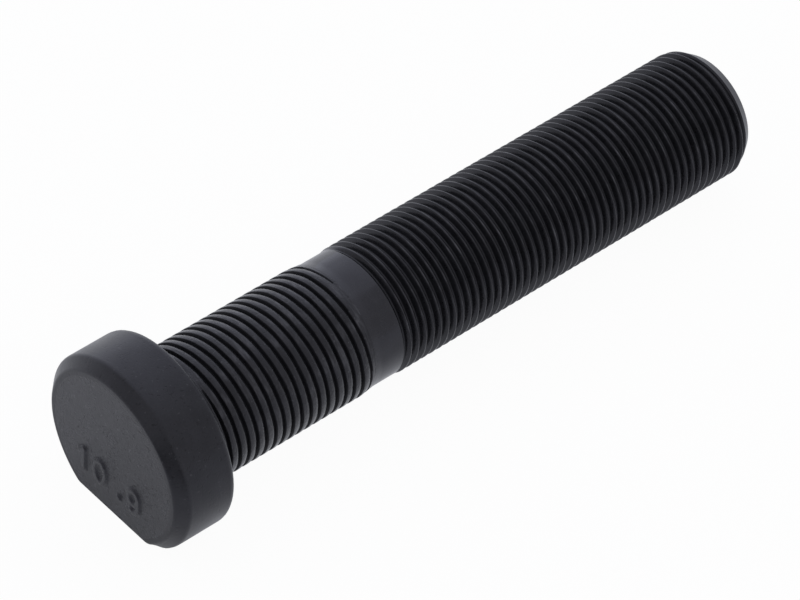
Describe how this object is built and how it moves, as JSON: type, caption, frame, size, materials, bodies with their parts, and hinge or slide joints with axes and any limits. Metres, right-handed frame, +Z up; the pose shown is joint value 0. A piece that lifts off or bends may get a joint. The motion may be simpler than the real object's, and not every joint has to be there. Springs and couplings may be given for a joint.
{
  "type": "wheel bolt",
  "caption": "Wheel bolt of blackened steel: round head with an anti-turn flat, grooved press-fit length, plain collar and a long fine right-hand thread with a chamfered point.",
  "frame": {"origin": "on the bolt's axis at the bearing face under the head, where the press-fit length begins", "axes": "+X along the axis from the head to the free end of the thread, +Z up with the head's flat facing down, as the bolt lies"},
  "size_m": [0.1207, 0.032, 0.028],
  "materials": {
    "blackened_steel": "black phosphate coat, lightly oiled, satin"
  },
  "bodies": {
    "root": {"wheel_bolt": "blackened_steel"}
  },
  "joints": []
}
